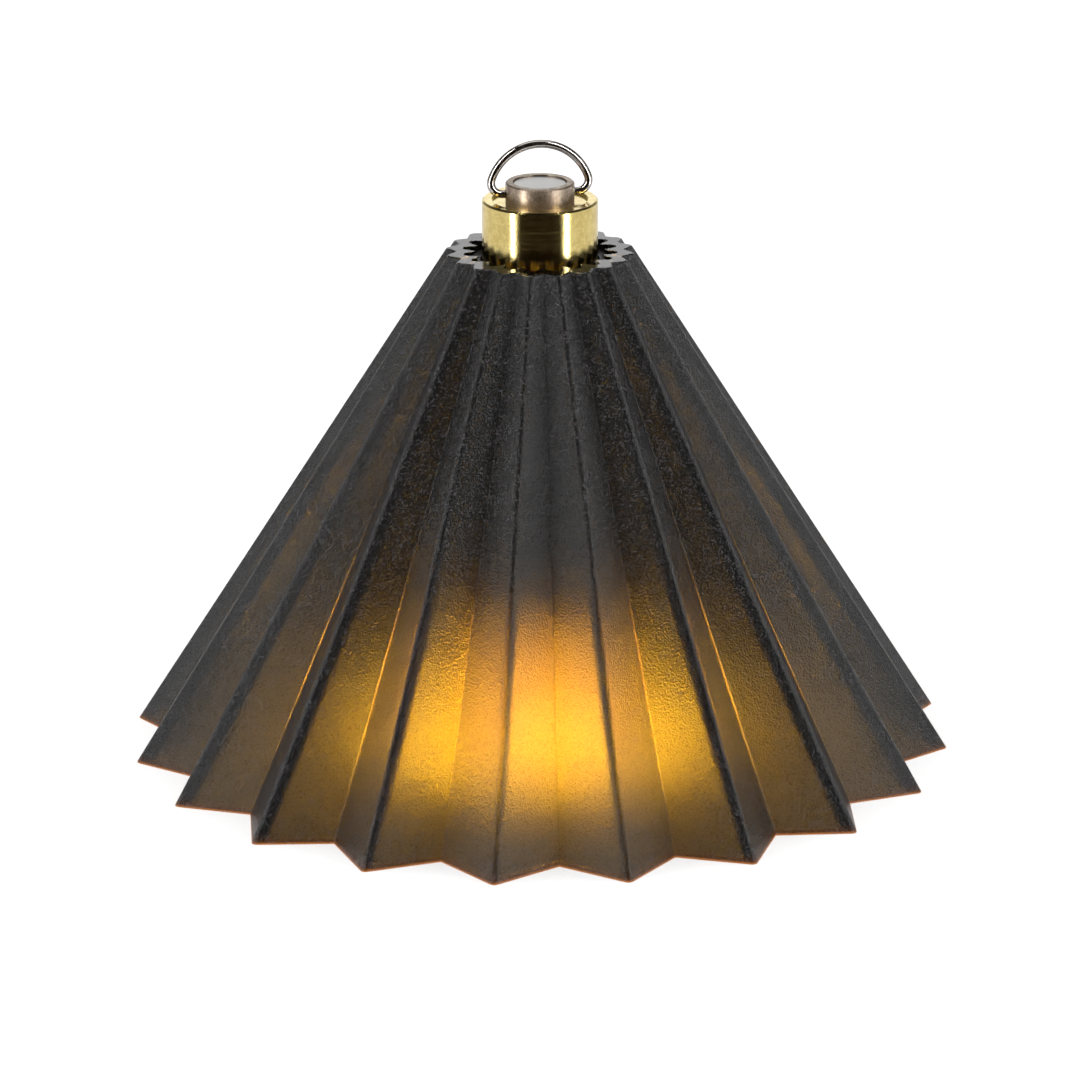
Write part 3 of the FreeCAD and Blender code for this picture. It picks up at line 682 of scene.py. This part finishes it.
def studio_world():
    """White behind the lamp, soft light all round, and a dim room for metal to mirror."""
    world = bpy.data.worlds.new("studio")
    bpy.context.scene.world = world
    mix = Recipe(world)
    ray = mix.add("LightPath", out="Is Camera Ray")
    glossy = mix.add("LightPath", out="Is Glossy Ray")
    flat = mix.add("VectorMath", {"operation": "MULTIPLY"},
                   {0: mix.add("TexCoord"), 1: (1.0, 1.0, 0.0)})
    side = mix.add("VectorMath", {"operation": "NORMALIZE"}, {0: flat})
    ahead = Vector((CAMERA_PLACE.x, CAMERA_PLACE.y, 0.0)).normalized()
    toward = mix.add("VectorMath", {"operation": "DOT_PRODUCT"},
                     {0: side, 1: ahead}, out="Value")
    up = mix.parts(mix.add("TexCoord"))[2]
    dark_front = mix.ramp(toward, 0.45, 0.75) * 0.26
    bright_back = mix.ramp(toward * -1.0, 0.86, 0.97)
    dark_above = mix.ramp(up, 0.30, 0.62) * 0.8
    room = (0.28 - dark_front + bright_back) * (1.0 - dark_above)
    strength = (1.0 - ray) * (glossy * room + (1.0 - glossy) * 0.5) + ray
    mix.close(mix.add("Background", None, {"Color": WHITE, "Strength": strength}))


def softbox(name, turn, distance, level, size, strength, aim,
            shown_in_metal=True, only_on=()):
    """An even, flat light aimed at a level on the axis; it can be kept to a few pieces."""
    light = bpy.data.lights.new(name, "AREA")
    light.shape = "RECTANGLE"
    light.size, light.size_y = size
    light.energy = strength * math.pi * size[0] * size[1]
    lamp = bpy.data.objects.new(name, light)
    bearing = CAMERA_BEARING + math.radians(turn)
    lamp.location = (distance * math.cos(bearing), distance * math.sin(bearing), level)
    target = Vector((0.0, 0.0, aim))
    lamp.rotation_mode = "QUATERNION"
    lamp.rotation_quaternion = (lamp.location - target).to_track_quat("Z", "Y")
    lamp.visible_camera = False
    lamp.visible_glossy = shown_in_metal
    bpy.context.scene.collection.objects.link(lamp)
    if only_on:
        lamp.light_linking.receiver_collection = bpy.data.collections.new(name + "_on")
        for piece in only_on:
            lamp.light_linking.receiver_collection.objects.link(piece)


def black_flag():
    """A black card before the lamp, which only polished and glossy skins see."""
    mesh = bpy.data.meshes.new("black_flag")
    points = []
    for step in range(FLAG_STEPS + 1):
        turn = CAMERA_BEARING + FLAG_HALF * (2 * step / FLAG_STEPS - 1)
        x, y = FLAG_RADIUS * math.cos(turn), FLAG_RADIUS * math.sin(turn)
        points += [(x, y, 0.0), (x, y, FLAG_HEIGHT)]
    faces = [(2 * n, 2 * n + 2, 2 * n + 3, 2 * n + 1) for n in range(FLAG_STEPS)]
    mesh.from_pydata(points, [], faces)
    piece = bpy.data.objects.new("black_flag", mesh)
    bpy.context.scene.collection.objects.link(piece)
    mix = finish_named("flag_black")
    dark = mix.add("Emission", None, {"Color": (0.008, 0.004, 0.001), "Strength": 1.0})
    dress(piece, mix.close(dark))
    piece.visible_camera = False
    piece.visible_diffuse = False
    piece.visible_transmission = False
    piece.visible_shadow = False


def lamp_light():
    """The lamp's own warm light: an even disc on the table, and a little all round."""
    light = bpy.data.lights.new("lamp_light", "POINT")
    light.energy = LAMP_POWER
    light.color = LAMP_COLOUR
    light.shadow_soft_size = LAMP_SOFTNESS
    mix = Recipe(light)
    x, y, down = mix.parts(mix.add("TexCoord", out="Normal"))
    spread = (x * x + y * y) ** 0.5 / (down * down + 0.0001) ** 0.5
    reach = spread * (LAMP_LEVEL / MM)
    disc = mix.ramp(reach, 9.0, 31.0, 1.0, 0.0)
    even = disc * (1.0 + spread * spread) ** 1.5
    strength = even * (1.0 - down.over(0.0)) + LAMP_ALL_ROUND
    mix.close(mix.add("Emission", None, {"Color": WHITE, "Strength": strength}))
    lamp = bpy.data.objects.new("lamp_light", light)
    lamp.location.z = LAMP_LEVEL
    lamp.visible_camera = False
    bpy.context.scene.collection.objects.link(lamp)
    for name in ("globe", "diffuser"):
        nodes[name].visible_shadow = False


def studio_lights(metals):
    """All the lights; the bright strips fall on the cap's metals alone."""
    for name, sign in (("left", -1), ("right", 1)):
        strip = (sign * STRIP_TURN, STRIP_DISTANCE, STRIP_LEVEL)
        softbox("strip_" + name, *strip, (0.029, 0.40), 15.0, STRIP_AIM, only_on=metals)
        softbox("fill_" + name, *strip, (0.036, 0.40), 2.6, STRIP_AIM)
        softbox("side_" + name, sign * SIDE_TURN, 0.9, 0.5, (0.7, 0.7), 1.6, 0.05,
                shown_in_metal=False)
    softbox("overhead", 180, 0.35, 1.1, (0.8, 0.8), 1.2, 0.05)
    black_flag()
    lamp_light()


def studio_camera():
    """The photo's camera: far off, a little to the left and above."""
    data = bpy.data.cameras.new("photo_camera")
    data.lens = LENS
    data.sensor_width = SENSOR
    data.clip_start, data.clip_end = CLIP
    camera = bpy.data.objects.new("photo_camera", data)
    camera.location = CAMERA_PLACE
    camera.rotation_euler = (math.pi / 2 - CAMERA_PITCH, 0.0, -CAMERA_TURN)
    bpy.context.scene.collection.objects.link(camera)
    bpy.context.scene.camera = camera


# ---------------------------------------------------------------- all together

finishes = make_finishes()
for name, slot in slots().items():
    dress(nodes[name], finishes[slot])
make_shade(finishes["smoke_plastic"])
ring = make_ring(finishes["polished_steel"])

studio_floor()
studio_world()
studio_lights([ring] + [nodes[name] for name in nodes if name in TOP_METALS])
studio_camera()
bpy.context.scene.view_settings.view_transform = "Standard"
